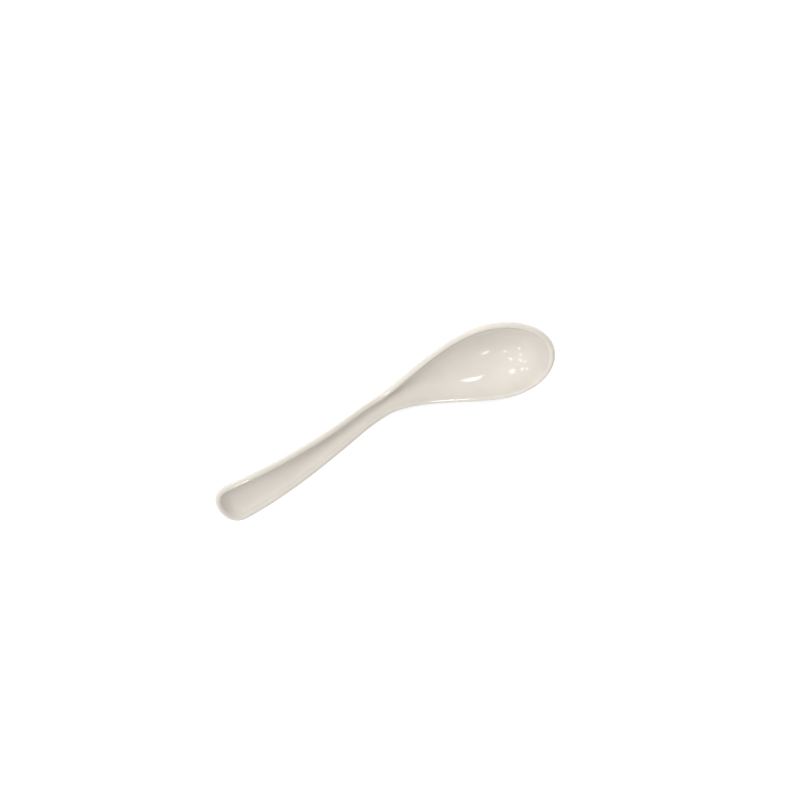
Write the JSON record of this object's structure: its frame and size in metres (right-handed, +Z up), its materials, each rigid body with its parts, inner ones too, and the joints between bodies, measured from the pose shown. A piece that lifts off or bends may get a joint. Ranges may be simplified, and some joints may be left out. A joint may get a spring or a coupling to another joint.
{
  "type": "melamine spoon",
  "caption": "Moulded soup spoon with a deep egg-shaped bowl, a rolled rim, a narrow neck and a rising channelled handle that widens to a squared end; it stands on a flat foot.",
  "frame": {"origin": "centre of the flat foot under the bowl, in the plane that the spoon stands on", "axes": "+X from the bowl towards the end of the handle, +Z up, Y across; the XZ plane is the plane of symmetry"},
  "size_m": [0.1699, 0.0432, 0.046],
  "materials": {
    "melamine": "gloss"
  },
  "bodies": {
    "root": {"spoon_body": "melamine"}
  },
  "joints": []
}
